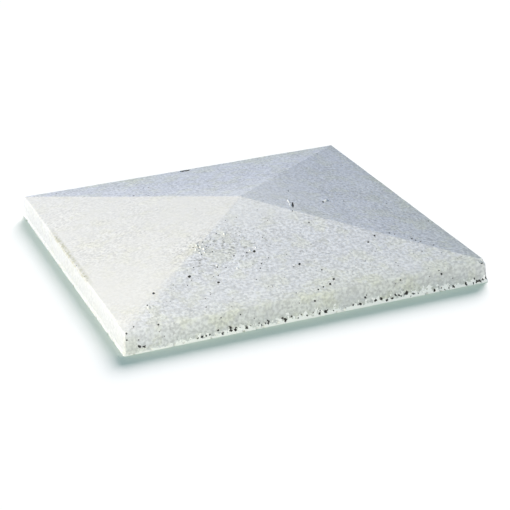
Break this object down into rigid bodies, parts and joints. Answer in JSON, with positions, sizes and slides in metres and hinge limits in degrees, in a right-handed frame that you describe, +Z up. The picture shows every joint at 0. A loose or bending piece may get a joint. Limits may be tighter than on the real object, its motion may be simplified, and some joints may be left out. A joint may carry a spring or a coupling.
{
  "type": "pier cap",
  "caption": "Square cast-concrete pier cap with a low pyramid top that sheds rain four ways, an upright edge band and a drip groove under the overhang.",
  "frame": {"origin": "centre of the flat bed on which the cap lies", "axes": "+Z up through the apex, +X along the front edge, +Y from front to back"},
  "size_m": [0.5, 0.5, 0.075],
  "materials": {
    "concrete": "white cast concrete, matt, with open pores and a ragged lower edge"
  },
  "bodies": {
    "root": {"pier_cap": "concrete"}
  },
  "joints": []
}
